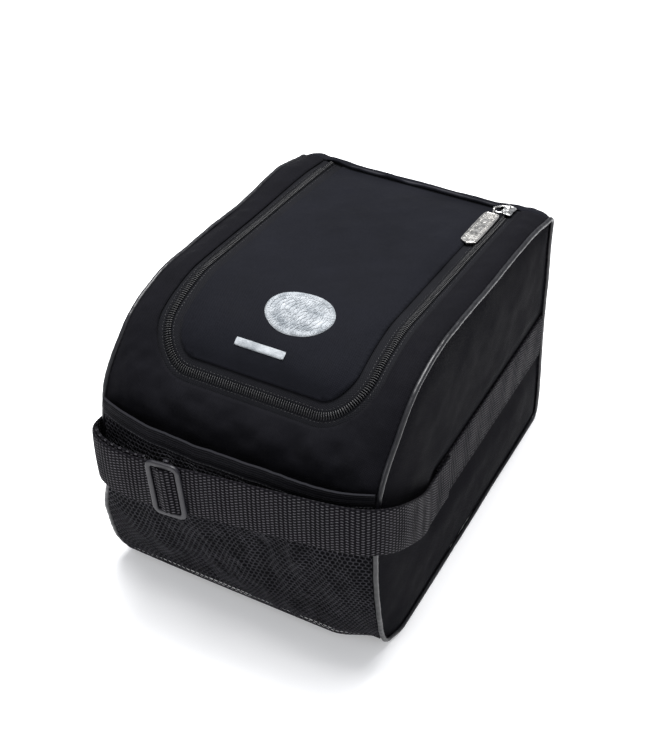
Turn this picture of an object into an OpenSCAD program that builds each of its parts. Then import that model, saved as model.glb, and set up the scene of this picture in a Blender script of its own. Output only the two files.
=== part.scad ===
// Soft shoe bag: sewn fabric box with a zipped lid, a mesh pocket on the
// front and an adjustable webbing handle. Millimetres, +Z up.
// X runs from side to side, -Y is the pocket end, +Y is the lid's fold.
// The origin is the centre of the base, on the surface the bag stands on.

// which part to draw

/* [Bag] */
// width between the centres of the two piped side seams
body_w = 205; // [180:1:240]
// length at the base, front to back
body_l = 296; // [270:1:330]
// height at the lid's fold
body_h = 208; // [190:1:230]
// how far the top climbs from the fold to the front shoulder
top_rise = 15; // [0:1:20]
// thickness of the padded fabric
panel_t = 2.5; // [1.5:0.1:3]
// radius of the piping cord
pipe_r = 1.7; // [1:0.1:2.5]

/* [Zip] */
// half the width between the two long zip legs
zip_half = 74; // [60:1:80]
// where the front leg of the zip lies
zip_front = -125; // [-130:1:-110]
// corner radius of the zip seen from above
zip_corner = 28; // [20:1:50]
// width of one row of coils
coil_w = 3.0; // [2:0.1:4]
// gap between the two rows
coil_gap = 1.2; // [0.8:0.1:1.6]

/* [Pull] */
// length of the metal tag
tag_l = 50; // [35:1:60]
// width of the metal tag
tag_w = 12.5; // [8:0.5:15]

/* [Handle] */
// width of the webbing
web_w = 40; // [25:1:50]
// thickness of the webbing
web_t = 1.8; // [1.2:0.1:2.5]
// height of the webbing's centre on the side panels
web_z = 92; // [70:1:120]
// where the sewn webbing ends and the free handle starts
web_y = -57; // [-80:1:-20]

/* [Hidden] */
step_n = 5;
fit = 0.1;
seam_x = body_w / 2 - pipe_r - fit;
front = -body_l / 2;
back = body_l / 2;
fold_y = 126.5;
slope = top_rise / (fold_y + 66);
slope_deg = atan(slope);
function top_z(y) = body_h + slope * (fold_y - y);

// ---- outline of the bag seen from the side, as (y, z) points ----
outline_corners = [
    [front + 33, 0], [front + 12, 0], [front + 4, 50], [front - 2, 95],
    [front - 2, 140], [front + 5, 172], [front + 22, 191], [front + 46, 213],
    [-64, top_z(-64)], [-40, top_z(-40)], [118, top_z(118)],
    [138, top_z(138)], [137, 190], [137, 120], [back - 4, 50],
    [back, 22], [back, 0], [back - 24, 0]];

function bend(a, b, c, t) = a * (1 - t) * (1 - t) + 2 * b * t * (1 - t) + c * t * t;

function smooth_loop(p, n) = [for (i = [0:len(p) - 1]) for (k = [0:n - 1])
    bend((p[(i + len(p) - 1) % len(p)] + p[i]) / 2, p[i],
        (p[i] + p[(i + 1) % len(p)]) / 2, k / n)];

outline = smooth_loop(outline_corners, step_n);
outline_n = len(outline);

function unit(v) = v / norm(v);
function out_dir(i) = let (
    d = unit(outline[(i + 1) % outline_n] - outline[(i + outline_n - 1) % outline_n]))
    [-d[1], d[0]];
function grown(d) = [for (i = [0:outline_n - 1]) outline[i] + d * out_dir(i)];

// solid of the side outline, grown by d, between two widths
module slab(d, x0, x1) {
    translate([x0, 0, 0])
        rotate([90, 0, 90])
            linear_extrude(height = x1 - x0)
                polygon(grown(d));
}

// sheet that follows the outline between depths d_out and d_in
module sheet(d_out, d_in, half_w) {
    translate([-half_w, 0, 0])
        rotate([90, 0, 90])
            linear_extrude(height = 2 * half_w)
                difference() {
                    polygon(grown(d_out));
                    polygon(grown(d_in));
                }
}

// ---- plan of the lid: a rectangle with two round front corners ----
function arc(cx, cy, r, a0, a1) = [for (k = [0:8])
    [cx + r * cos(a0 + (a1 - a0) * k / 8), cy + r * sin(a0 + (a1 - a0) * k / 8)]];

function lid_plan(inset, y_end) = let (
    h = zip_half - inset,
    f = zip_front + inset * 0.7,
    r = zip_corner - inset)
    concat([[h, y_end]],
        arc(h - r, f + r, r, 0, -90),
        arc(-h + r, f + r, r, -90, -180),
        [[-h, y_end]]);

module lid_column(inset, y_end) {
    translate([0, 0, 120])
        linear_extrude(height = 140)
            polygon(lid_plan(inset, y_end));
}

// U-shaped strip of a sheet, between two insets of the lid plan
module lid_ring(d_out, d_in, inset_out, inset_in, y_end) {
    intersection() {
        sheet(d_out, d_in, seam_x);
        difference() {
            lid_column(inset_out, y_end);
            lid_column(inset_in, y_end + 5);
        }
    }
}

// ---- swept solids ----
function round_section(r, n) = [for (k = [0:n - 1])
    [r * cos(360 * k / n), r * sin(360 * k / n)]];

// closed tube along a loop of points in the side view, at one width
module side_tube(path, x, r, n) {
    c = round_section(r, n);
    m = len(path);
    pts = [for (i = [0:m - 1]) let (
            d = unit(path[(i + 1) % m] - path[(i + m - 1) % m]),
            o = [-d[1], d[0]])
        for (k = [0:n - 1])
            [x + c[k][0], path[i][0] + o[0] * c[k][1], path[i][1] + o[1] * c[k][1]]];
    faces = [for (i = [0:m - 1]) for (k = [0:n - 1])
        [i * n + k, i * n + (k + 1) % n,
            ((i + 1) % m) * n + (k + 1) % n, ((i + 1) % m) * n + k]];
    polyhedron(points = pts, faces = faces, convexity = 6);
}

// upright ribbon of webbing along (x, y, z) points; side is its thickness
module ribbon(path, w, t0, t1) {
    m = len(path);
    pts = [for (i = [0:m - 1]) let (
            a = path[max(i - 1, 0)],
            b = path[min(i + 1, m - 1)],
            d = unit([b[0] - a[0], b[1] - a[1]]),
            o = [d[1], -d[0]])
        each [
            [path[i][0] + o[0] * t0, path[i][1] + o[1] * t0, path[i][2] - w / 2],
            [path[i][0] + o[0] * t1, path[i][1] + o[1] * t1, path[i][2] - w / 2],
            [path[i][0] + o[0] * t1, path[i][1] + o[1] * t1, path[i][2] + w / 2],
            [path[i][0] + o[0] * t0, path[i][1] + o[1] * t0, path[i][2] + w / 2]]];
    walls = [for (i = [0:m - 2]) for (k = [0:3])
        [i * 4 + k, (i + 1) * 4 + k, (i + 1) * 4 + (k + 1) % 4, i * 4 + (k + 1) % 4]];
    caps = [[0, 1, 2, 3], [for (k = [3:-1:0]) (m - 1) * 4 + k]];
    polyhedron(points = pts, faces = concat(walls, caps), convexity = 6);
}

function smooth_path(p, n) = let (m = len(p) - 1) concat([p[0]],
    [for (i = [1:m - 1]) for (k = [0:n - 1])
        bend((p[i - 1] + p[i]) / 2, p[i], (p[i] + p[i + 1]) / 2, k / n)],
    [(p[m - 1] + p[m]) / 2, p[m]]);

// ---- fabric body ----
module front_top_panel() {
    color([0.13, 0.13, 0.15])
    difference() {
        intersection() {
            sheet(0, -panel_t, seam_x);
            translate([-body_w / 2, front - 20, 14])
                cube([body_w, fold_y + 0.4 - front + 20, 240]);
        }
        lid_column(-5, fold_y + 10);
    }
}

module back_panel() {
    color([0.13, 0.13, 0.15])
    intersection() {
        sheet(0, -panel_t, seam_x);
        union() {
            translate([-body_w / 2, fold_y + 0.4, 60])
                cube([body_w, 60, 180]);
            translate([-body_w / 2, 90, 14])
                cube([body_w, 90, 60]);
        }
    }
}

module bottom_panel() {
    color([0.12, 0.12, 0.13])
    intersection() {
        sheet(0, -panel_t, seam_x);
        translate([-body_w / 2, front - 20, -5])
            cube([body_w, body_l + 40, 19]);
    }
}

module side_panel(s) {
    color([0.15, 0.15, 0.17])
    slab(-panel_t - 0.05, min(s * seam_x, s * (seam_x - panel_t)),
        max(s * seam_x, s * (seam_x - panel_t)));
}

module side_panel_right() {
    side_panel(1);
}

module side_panel_left() {
    side_panel(-1);
}

module piping(s) {
    color([0.30, 0.30, 0.33])
    side_tube(grown(-pipe_r - 0.05), s * body_w / 2, pipe_r, 8);
}

module piping_right() {
    piping(1);
}

module piping_left() {
    piping(-1);
}

// inner fabric: an open box a little inside the panels
module lining() {
    inner = panel_t + 1;
    color([0.20, 0.20, 0.22])
    difference() {
        slab(-inner, -seam_x + inner, seam_x - inner);
        slab(-inner - 0.8, -seam_x + inner + 0.8, seam_x - inner - 0.8);
        lid_column(-9, fold_y - 0.5);
    }
}

module base_board() {
    color([0.25, 0.25, 0.26])
    translate([-seam_x + 6, front + 22, 5.4])
        cube([2 * seam_x - 12, body_l - 36, 2]);
}

// binding over the raw edges of a side seam, inside the bag
module seam_tape(s) {
    depth = panel_t + 1.9;
    x0 = s * (seam_x - 4.4);
    x1 = s * (seam_x - 12.4);
    color([0.10, 0.10, 0.11])
    difference() {
        slab(-depth, min(x0, x1), max(x0, x1));
        slab(-depth - 0.8, -body_w, body_w);
    }
}

module seam_tape_right() {
    seam_tape(1);
}

module seam_tape_left() {
    seam_tape(-1);
}

// ---- zip ----
module zip_tape_body() {
    color([0.10, 0.10, 0.11])
    lid_ring(-panel_t - 0.1, -panel_t - 0.8, -13, -coil_gap / 2 - 0.3, 108);
}

module zip_coil_body() {
    color([0.07, 0.07, 0.08])
    lid_ring(-0.4, -panel_t - 0.05, -coil_gap / 2 - coil_w, -coil_gap / 2, 108);
}

module zip_tape_lid() {
    color([0.10, 0.10, 0.11])
    lid_ring(-panel_t - 0.1, -panel_t - 0.8, coil_gap / 2 + 0.3, 13, fold_y - 2);
}

module zip_coil_lid() {
    color([0.07, 0.07, 0.08])
    lid_ring(-0.4, -panel_t - 0.05, coil_gap / 2, coil_gap / 2 + coil_w, fold_y - 2);
}

// ---- lid ----
module lid_panel() {
    color([0.13, 0.14, 0.17])
    intersection() {
        sheet(0, -0.9, seam_x);
        lid_column(5, fold_y - 0.4);
    }
}

module lid_foam() {
    color([0.55, 0.55, 0.58])
    intersection() {
        sheet(-1, -panel_t, seam_x);
        lid_column(5.5, fold_y - 1);
    }
}

module lid_lining() {
    color([0.20, 0.20, 0.22])
    intersection() {
        sheet(-panel_t - 1, -panel_t - 1.8, seam_x);
        lid_column(9, fold_y - 2);
    }
}

// embroidery sewn on the lid, with no mark of any kind
module badge_patch() {
    color([0.85, 0.86, 0.88])
    intersection() {
        sheet(1, 0.05, seam_x);
        translate([8, -78, 150])
            cylinder(h = 120, r = 21, $fn = 48);
    }
}

module badge_bar() {
    color([0.85, 0.86, 0.88])
    intersection() {
        sheet(0.9, 0.05, seam_x);
        translate([-21, -107, 150])
            cube([36, 6, 100]);
    }
}

// ---- slider and pull, drawn level and then laid on the sloping top ----
slider_y = 118;
ring_l = 12;
ring_yaw = -38;

module on_top(y) {
    translate([zip_half, y, top_z(y)])
        rotate([-slope_deg, 0, 0])
            children();
}

module zip_slider() {
    color([0.75, 0.75, 0.73])
    on_top(slider_y)
        union() {
            translate([-4.5, -7, 0.1])
                cube([9, 14, 1.4]);
            translate([-4.5, -7, -4.9])
                cube([9, 12, 1.2]);
            translate([-0.3, 1, -4.9])
                cube([0.6, 3, 5.4]);
            translate([0, 0, 1.2])
                rotate([90, 0, 90])
                    rotate_extrude(angle = 180, $fn = 48)
                        translate([3.4, 0])
                            circle(r = 0.75, $fn = 20);
        }
}

// stadium-shaped wire ring that hangs on the slider's arch
module pull_ring() {
    half = 4.2;
    wire = 0.6;
    run = ring_l - 2 * half;
    color([0.78, 0.78, 0.76])
    on_top(slider_y)
        translate([0, 0, 2.9])
            rotate([0, 0, ring_yaw])
                union() {
                    translate([0, -half, 0])
                        rotate_extrude(angle = 180, $fn = 48)
                            translate([half, 0])
                                circle(r = wire, $fn = 20);
                    translate([0, -half - run, 0])
                        rotate([0, 0, 180])
                            rotate_extrude(angle = 180, $fn = 48)
                                translate([half, 0])
                                    circle(r = wire, $fn = 20);
                    for (s = [-1, 1])
                        translate([s * half, -half, 0])
                            rotate([90, 0, 0])
                                cylinder(h = run, r = wire, $fn = 20);
                }
}

tag_x = ring_l * sin(ring_yaw);
tag_y = -ring_l * cos(ring_yaw);

// flat metal tag with an eye at its root and a scalloped end
module pull_tag() {
    w = tag_w / 2;
    eye_r = 2.2;
    root = eye_r + 0.2;
    plate = [
        [-w + 2, -root], [w - 2, -root], [w, -root - 2], [w, -tag_l + 3],
        [w - 2, -tag_l + 2.4], [3, -tag_l], [0, -tag_l - 1.2], [-3, -tag_l],
        [-w + 2, -tag_l + 2.4], [-w, -tag_l + 3], [-w, -root - 2]];
    color([0.78, 0.77, 0.75])
    on_top(slider_y)
        translate([tag_x, tag_y, 0])
            union() {
                translate([0, 0, 0.6])
                    linear_extrude(height = 1.5)
                        polygon(plate);
                translate([0, 0, 2.1])
                    linear_extrude(height = 0.4)
                        difference() {
                            polygon(plate);
                            translate([-w + 1.2, -tag_l + 3.4])
                                square([tag_w - 2.4, tag_l - root - 6]);
                        }
                translate([0, 0, 2.9])
                    rotate([0, 90, 0])
                        rotate_extrude($fn = 48)
                            translate([eye_r, 0])
                                circle(r = 0.55, $fn = 20);
            }
}

// ---- mesh pocket on the front ----
pocket_top = 150;
pocket_swell = 8;
mouth_z = 130;
pocket_rows = 12;
pocket_cols = 16;
function front_y(z) = lookup(z, [for (i = [5:34]) [outline[i][1], outline[i][0]]]);
function pocket_out(x, z) = let (
    u = max(0, 1 - pow(abs(x) / (seam_x - 1), 4)),
    v = sin(90 * min(1, z / 110)),
    away = 0.75 * max(0, front_y(z) - front_y(mouth_z)) * (z > mouth_z ? 1 : 0))
    1 + u * (pocket_swell * v + away);

module front_skin(z0, z1, gap, thick) {
    n = pocket_cols;
    m = pocket_rows;
    pts = [for (side = [0, 1]) for (j = [0:m]) for (i = [0:n]) let (
            x = -seam_x + 0.5 + (2 * seam_x - 1) * i / n,
            z = z0 + (z1 - z0) * j / m)
        [x, front_y(z) - gap - (side == 1 ? thick : 0) - pocket_out(x, z), z]];
    row = n + 1;
    lay = row * (m + 1);
    faces = concat(
        [for (j = [0:m - 1]) for (i = [0:n - 1]) let (a = j * row + i)
            each [[a, a + row, a + row + 1], [a, a + row + 1, a + 1]]],
        [for (j = [0:m - 1]) for (i = [0:n - 1]) let (a = lay + j * row + i)
            each [[a, a + row + 1, a + row], [a, a + 1, a + row + 1]]],
        [for (i = [0:n - 1]) each [[i, i + 1, lay + i + 1, lay + i]]],
        [for (i = [0:n - 1]) let (a = m * row + i)
            [a + 1, a, lay + a, lay + a + 1]],
        [for (j = [0:m - 1]) let (a = j * row)
            [a + row, a, lay + a, lay + a + row]],
        [for (j = [0:m - 1]) let (a = j * row + n)
            [a, a + row, lay + a + row, lay + a]]);
    polyhedron(points = pts, faces = faces, convexity = 6);
}

module mesh_pocket() {
    color([0.10, 0.10, 0.11])
    front_skin(8, pocket_top - 0.1, 0, 1.2);
}

module pocket_binding() {
    color([0.14, 0.14, 0.16])
    front_skin(pocket_top, pocket_top + 15, 0, 1.4);
}

// ---- handle ----
web_x = body_w / 2 + pipe_r + 0.2;

module side_webbing(s) {
    x0 = s * (seam_x + fit);
    x1 = s * (seam_x + fit + web_t);
    color([0.20, 0.20, 0.22])
    intersection() {
        translate([min(x0, x1), web_y, web_z - web_w / 2])
            cube([web_t, 250, web_w]);
        slab(-2 * pipe_r - 0.3, -body_w, body_w);
    }
}

module side_webbing_right() {
    side_webbing(1);
}

module side_webbing_left() {
    side_webbing(-1);
}

glide_x = -38;
glide_lean = 4;
run_y = -170;
run_z = 130;
run_out = 0.04;
run_rise = 0.12;
function run(x) = [x, run_y + run_out * (x - glide_x), run_z + run_rise * (x - glide_x)];

lap_x = seam_x + fit + 1.5 * web_t + 0.15;

handle_corners = [
    [lap_x, web_y + 16, web_z], [lap_x, web_y, web_z],
    [web_x + 0.2, web_y - 14, web_z + 2], [web_x + 5, -92, web_z + 12],
    [web_x + 9, -120, web_z + 32], [web_x + 7, -145, web_z + 46],
    [98, -162, 145], run(74), run(50), run(-62), run(-66),
    [-88, -170, 127], [-104.5, -160.5, 126],
    [-web_x - 4, -140, 122], [-web_x - 3, -112, 112],
    [-web_x - 0.2, web_y - 14, web_z + 3],
    [-lap_x, web_y, web_z], [-lap_x, web_y + 16, web_z]];

handle_path = smooth_path(handle_corners, 6);

module handle_webbing() {
    color([0.20, 0.20, 0.22])
    ribbon(handle_path, web_w, -web_t / 2, web_t / 2);
}

// second layer of webbing behind the left end of the handle
module handle_backing() {
    color([0.19, 0.19, 0.21])
    ribbon([for (k = [55:68]) handle_path[k] + [0, 0, 2]],
        web_w - 1, web_t / 2 + 0.2, web_t / 2 + 1.8);
}

// three-bar buckle: a frame in front and a centre bar behind the webbing
module tri_glide() {
    w = 26;
    h = web_w + 6;
    gap = web_t / 2 + 0.35;
    color([0.30, 0.29, 0.33])
    translate(run(glide_x))
        rotate([0, -glide_lean, atan(run_out)])
            rotate([90, 0, 0])
                union() {
                    translate([0, 0, gap])
                        linear_extrude(height = 2.6)
                            difference() {
                                square([w, h], center = true);
                                square([w - 8, web_w + 1], center = true);
                            }
                    for (s = [-1, 1])
                        translate([-2, s > 0 ? (web_w + 1.6) / 2 : -h / 2, -gap - 2.4])
                            cube([4, (h - web_w - 1.6) / 2, 2 * gap + 2.6]);
                    translate([-2, -h / 2, -gap - 2.4])
                        cube([4, h, 2.4]);
                }
}

front_top_panel();
back_panel();
bottom_panel();
side_panel_right();
side_panel_left();
piping_right();
piping_left();
lining();
base_board();
seam_tape_right();
seam_tape_left();
zip_tape_body();
zip_coil_body();
mesh_pocket();
pocket_binding();
side_webbing_right();
side_webbing_left();
lid_panel();
lid_foam();
lid_lining();
zip_tape_lid();
zip_coil_lid();
badge_patch();
badge_bar();
zip_slider();
pull_ring();
pull_tag();
handle_webbing();
handle_backing();
tri_glide();
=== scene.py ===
import math

import bmesh
import bpy
import numpy as np
from mathutils import Matrix, Vector
from mathutils.geometry import delaunay_2d_cdt


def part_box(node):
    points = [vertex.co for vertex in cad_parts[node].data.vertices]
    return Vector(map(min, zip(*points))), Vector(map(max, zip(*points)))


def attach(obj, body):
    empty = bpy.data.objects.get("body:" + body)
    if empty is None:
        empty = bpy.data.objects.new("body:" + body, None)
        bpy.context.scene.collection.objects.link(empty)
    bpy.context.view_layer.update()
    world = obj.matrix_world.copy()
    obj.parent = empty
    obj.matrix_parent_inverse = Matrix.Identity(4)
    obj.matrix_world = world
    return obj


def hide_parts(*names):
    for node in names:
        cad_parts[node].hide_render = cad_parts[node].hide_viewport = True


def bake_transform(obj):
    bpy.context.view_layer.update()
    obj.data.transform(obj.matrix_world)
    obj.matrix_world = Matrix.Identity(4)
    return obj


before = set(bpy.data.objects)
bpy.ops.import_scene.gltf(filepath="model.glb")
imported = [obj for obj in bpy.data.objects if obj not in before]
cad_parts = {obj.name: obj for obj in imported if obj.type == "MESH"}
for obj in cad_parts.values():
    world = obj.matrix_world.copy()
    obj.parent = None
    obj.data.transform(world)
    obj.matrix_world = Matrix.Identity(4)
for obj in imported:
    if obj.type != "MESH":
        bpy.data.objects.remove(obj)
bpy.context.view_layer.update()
MM = 0.001

# ---- side outline of the bag
BODY_W, BODY_L, BODY_H, TOP_RISE = 205.0, 296.0, 208.0, 15.0
PIPE_R, PANEL_T = 1.7, 2.5
FOLD_Y = 126.5
SEAM_X = BODY_W / 2 - PIPE_R - 0.1
SLOPE = TOP_RISE / (FOLD_Y + 66)
WEB_W, WEB_T, WEB_Z, WEB_Y = 40.0, 1.8, 92.0, -57.0     # webbing, and where its run starts
FRONT, BACK = -BODY_L / 2, BODY_L / 2
BOTH = (("right", 1), ("left", -1))


def top_z(y):
    return BODY_H + SLOPE * (FOLD_Y - y)


CORNERS = [
    (FRONT + 33, 0), (FRONT + 12, 0), (FRONT + 4, 50), (FRONT - 2, 95), (FRONT - 2, 140),
    (FRONT + 5, 172), (FRONT + 22, 191), (FRONT + 46, 213), (-64, top_z(-64)),
    (-40, top_z(-40)), (118, top_z(118)), (138, top_z(138)), (137, 190), (137, 120),
    (BACK - 4, 50), (BACK, 22), (BACK, 0), (BACK - 24, 0)]


def bend(a, b, c, t):
    return a * (1 - t) ** 2 + 2 * b * t * (1 - t) + c * t ** 2


def round_corners(p, which, n):
    out = []
    for i in which:
        a, b, c = (p[i - 1] + p[i]) / 2, p[i], (p[i] + p[(i + 1) % len(p)]) / 2
        out += [bend(a, b, c, k / n) for k in range(n)]
    return out


def smooth_loop(corners, n):
    """A closed smooth line from a few corners."""
    p = np.array(corners, float)
    return np.array(round_corners(p, range(len(p)), n))


def smooth_path(corners, n):
    """An open smooth line that keeps its first and last corner."""
    p = np.array(corners, float)
    inner = round_corners(p, range(1, len(p) - 1), n)
    return np.array([p[0]] + inner + [(p[-2] + p[-1]) / 2, p[-1]])


def arc_lengths(p):
    return np.concatenate([[0], np.cumsum(np.linalg.norm(np.diff(p, axis=0), axis=1))])


def at(t, s, p):
    """Places on the line p, whose points lie at lengths s, at the lengths t."""
    return np.stack([np.interp(t, s, p[:, k]) for k in range(p.shape[1])], -1)


def same(v, n):
    """One direction, n times."""
    return np.tile(np.array(v, float), (n, 1))


LOOP = smooth_loop(CORNERS, 40)
LOOP = np.vstack([LOOP, LOOP[:1]])
LOOP_S = arc_lengths(LOOP)
GIRTH = LOOP_S[-1]
_d = np.roll(LOOP[:-1], -1, 0) - np.roll(LOOP[:-1], 1, 0)
_d /= np.linalg.norm(_d, axis=1)[:, None]
LOOP_N = np.stack([-_d[:, 1], _d[:, 0]], 1)
LOOP_N = np.vstack([LOOP_N, LOOP_N[:1]])


def on_loop(s):
    """Place and outward direction, as (y, z), at length s along the side outline."""
    s = np.mod(np.asarray(s, float), GIRTH)
    n = at(s, LOOP_S, LOOP_N)
    return at(s, LOOP_S, LOOP), n / np.linalg.norm(n, axis=-1, keepdims=True)


def out_of_loop(s):
    """The outward direction in space at length s along the side outline."""
    n = on_loop(s)[1]
    return np.stack([np.zeros(len(s)), n[:, 0], n[:, 1]], -1)


def s_where(test):
    return float(LOOP_S[:-1][test(LOOP[:-1, 0], LOOP[:-1, 1])].min())


S_FRONT = s_where(lambda y, z: (y < 0) & (z > 14))
S_FOLD = s_where(lambda y, z: (y > FOLD_Y) & (z > 150))
S_BACK = s_where(lambda y, z: (y > 0) & (z < 14) & (y > 130))
_front = (LOOP[:, 0] < -60) & (LOOP_S < S_FOLD)
_top = (LOOP_S > s_where(lambda y, z: z > 150)) & (LOOP_S < S_FOLD + 30)


def s_at_front(z):
    return float(np.interp(z, LOOP[_front, 1], LOOP_S[_front]))


def s_at_top(y):
    return np.interp(y, LOOP[_top, 0], LOOP_S[_top])


def wrap(x, s, h):
    """Takes flat cloth places (x, s) with height h onto the bag's outline, in metres."""
    x, s, h = np.broadcast_arrays(np.asarray(x, float), s, h)
    p, n = on_loop(s)
    q = p + n * h[..., None]
    return np.stack([x, q[..., 0], q[..., 1]], -1) * MM


# ---- soft shapes
def soft_noise(a, b, seed, scale, octaves=3):
    """Smooth waves over a flat place, from -1 to 1."""
    rng = np.random.default_rng(seed)
    out, total = 0.0, 0.0
    for o in range(octaves):
        f, w = 2 ** o / scale, 0.55 ** o
        for _ in range(5):
            t, ph = rng.uniform(0, 2 * math.pi, 2)
            out = out + w / 3 * np.sin(2 * math.pi * f * (a * math.cos(t) + b * math.sin(t)) + ph)
        total += w
    return out / total


def seam_wave(s, side):
    """How far a side seam wanders from its straight line: outwards in x, and up."""
    k = 2 * math.pi / GIRTH
    dx = 0.8 * np.sin(5 * k * s + side) + 0.5 * np.sin(11 * k * s + 2.1 * side)
    dh = 0.5 * np.sin(7 * k * s + 1.3 * side) + 0.3 * np.sin(13 * k * s + side)
    round_top = np.exp(-((s - S_FOLD - 12) / 26) ** 2) + 0.5 * np.exp(-((s - S_BACK - 5) / 30) ** 2)
    return dx, np.where((s > GIRTH * 0.72) | (s < 20), 0, 1) * (dh - 0.3) - 2.0 * round_top


# ---- meshes
def step_up(v, lo, hi):
    t = np.clip((v - lo) / (hi - lo), 0, 1)
    return t * t * (3 - 2 * t)


# how far the slump moves each place, in mm
LEFT_FOOT, RIGHT_FOOT, LEFT_SHOULDER, BACK_CORNERS = 12.5, 6.0, 5.0, (5.0, 3.0)


def settle(points):
    """The soft bag's slump: its left front foot swells out, its right front foot rounds up, and
    its two back corners and its left shoulder sink a little."""
    x, y, z = np.asarray(points, float).T / MM
    left = np.clip(-x / SEAM_X, 0, 1.2) ** 2 * (1 - step_up(z, 50, 108)) * (1 - step_up(y, -120, 0))
    foot = 0.45 + 0.55 * step_up(z, 0, 24)
    right = step_up(x, 62, 102) * (1 - step_up(y, -137, -100)) * (1 - step_up(z, 6, 62))
    crown = (step_up(np.abs(x), 62, 103) * step_up(y, 88, 134) * step_up(z, 140, 190)
             * np.where(x < 0, *BACK_CORNERS))
    crown += (LEFT_SHOULDER * step_up(-x, 72, 103) * step_up(z, 130, 185) * step_up(y, -135, -70)
              * (1 - step_up(y, 20, 95)))
    moved = np.stack([x - LEFT_FOOT * left * foot - 2.5 * right,
                      y + RIGHT_FOOT * right - 0.5 * crown, z + RIGHT_FOOT * right - crown], -1)
    return moved * MM


def add(name, data):
    obj = bpy.data.objects.new(name, data)
    bpy.context.scene.collection.objects.link(obj)
    return obj


def new_piece(name, points, faces, uv=None, smooth=True):
    mesh = bpy.data.meshes.new(name)
    mesh.from_pydata([tuple(p) for p in settle(points)], [],
                     [tuple(int(i) for i in f) for f in faces])
    if uv is not None:
        layer = mesh.uv_layers.new(name="cloth")
        loops = np.empty(len(mesh.loops), np.int32)
        mesh.loops.foreach_get("vertex_index", loops)
        layer.data.foreach_set("uv", np.asarray(uv, float)[loops].ravel())
    mesh.shade_smooth() if smooth else mesh.shade_flat()
    return add(name, mesh)


def outward(obj):
    """Merges doubled points and turns all faces outward."""
    bm = bmesh.new()
    bm.from_mesh(obj.data)
    bmesh.ops.remove_doubles(bm, verts=bm.verts, dist=1e-6)
    bmesh.ops.recalc_face_normals(bm, faces=bm.faces)
    bm.to_mesh(obj.data)
    bm.free()
    return obj


def apply_all(obj):
    """Makes the result of an object's modifiers its own plain mesh."""
    graph = bpy.context.evaluated_depsgraph_get()
    mesh = bpy.data.meshes.new_from_object(obj.evaluated_get(graph))
    obj.modifiers.clear()
    obj.data = mesh
    return obj


def thicken(obj, t):
    """Gives a cloth its thickness, t in mm, inward from its face."""
    m = obj.modifiers.new("thickness", "SOLIDIFY")
    m.thickness, m.offset, m.use_even_offset = t * MM, -1.0, False
    return apply_all(obj)


def inside(poly, pts):
    """True for each point that lies in the closed polygon."""
    x, y = pts[:, 0], pts[:, 1]
    res = np.zeros(len(pts), bool)
    for (x0, y0), (x1, y1) in zip(poly, np.roll(poly, -1, 0)):
        if y0 == y1:
            continue
        hit = ((y0 > y) != (y1 > y)) & (x < (x1 - x0) * (y - y0) / (y1 - y0) + x0)
        res ^= hit
    return res


def nearest(poly, pts, closed=True):
    """Distance from each point to a polyline."""
    a = poly if closed else poly[:-1]
    b = np.roll(poly, -1, 0) if closed else poly[1:]
    best = np.full(len(pts), 1e9)
    for p, q in zip(a, b):
        d = q - p
        t = np.clip(((pts - p) @ d) / max(float(d @ d), 1e-12), 0, 1)
        best = np.minimum(best, np.linalg.norm(pts - p - t[:, None] * d, axis=1))
    return best


def even(poly, step, closed=True):
    """The same polyline with points at an even spacing."""
    p = np.vstack([poly, poly[:1]]) if closed else poly
    s = arc_lengths(p)
    n = max(int(round(s[-1] / step)), 3)
    t = np.linspace(0, s[-1], n + 1)
    q = at(t, s, p)
    return q[:-1] if closed else q


def cloth_patch(name, border, place, step):
    """A cloth panel: the flat border is filled with an even net, and place() sets it in space."""
    rim = even(np.array(border, float), step)
    lo, hi = rim.min(0), rim.max(0)
    gx = np.arange(lo[0] + step / 2, hi[0], step)
    gy = np.arange(lo[1] + step / 2, hi[1], step * 0.87)
    grid = np.array([(x + (j % 2) * step / 2, y) for j, y in enumerate(gy) for x in gx])
    keep = inside(rim, grid) & (nearest(rim, grid) > step * 0.45)
    edges = [(i, (i + 1) % len(rim)) for i in range(len(rim))]
    out = delaunay_2d_cdt([Vector(p) for p in np.vstack([rim, grid[keep]])], edges, [], 0, 1e-7)
    flat = np.array([tuple(v) for v in out[0]])
    tris = np.array([f for f in out[2]])
    return new_piece(name, place(flat), tris[inside(rim, flat[tris].mean(1))], uv=flat * MM)


def loft(name, rings, closed, v):
    """Skins closed rings of points, in metres, one after the other; an open run gets end caps."""
    rings = np.asarray(rings, float)
    n, m = rings.shape[:2]
    i, k = np.meshgrid(np.arange(n if closed else n - 1), np.arange(m), indexing="ij")
    j, q = (i + 1) % n, (k + 1) % m
    faces = [tuple(f) for f in np.stack([i * m + k, i * m + q, j * m + q, j * m + k],
                                        -1).reshape(-1, 4)]
    if not closed:
        faces += [tuple(range(m))[::-1], tuple((n - 1) * m + c for c in range(m))]
    u = arc_lengths(rings.mean(1))
    v = np.asarray(v, float) * MM
    uv = np.stack(np.broadcast_arrays(u[:, None], v[None, :]), -1).reshape(-1, 2)
    return outward(new_piece(name, rings.reshape(-1, 3), faces, uv=uv))


def ribbon(name, path, side, up, section, closed=False):
    """Sweeps a closed section of (side, up) offsets, in mm, along a path in metres."""
    path, side, up = (np.asarray(a, float) for a in (path, side, up))
    sec = np.asarray(section, float) * MM
    rings = path[:, None] + side[:, None] * sec[None, :, :1] + up[:, None] * sec[None, :, 1:]
    return loft(name, rings, closed, np.asarray(section, float)[:, 0])


def tangents(p, closed=False):
    if closed:
        d = np.roll(p, -1, 0) - np.roll(p, 1, 0)
    else:
        d = np.gradient(p, axis=0)
    return d / np.linalg.norm(d, axis=1)[:, None]


def unit(v):
    return v / np.linalg.norm(v, axis=-1, keepdims=True)


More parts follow.
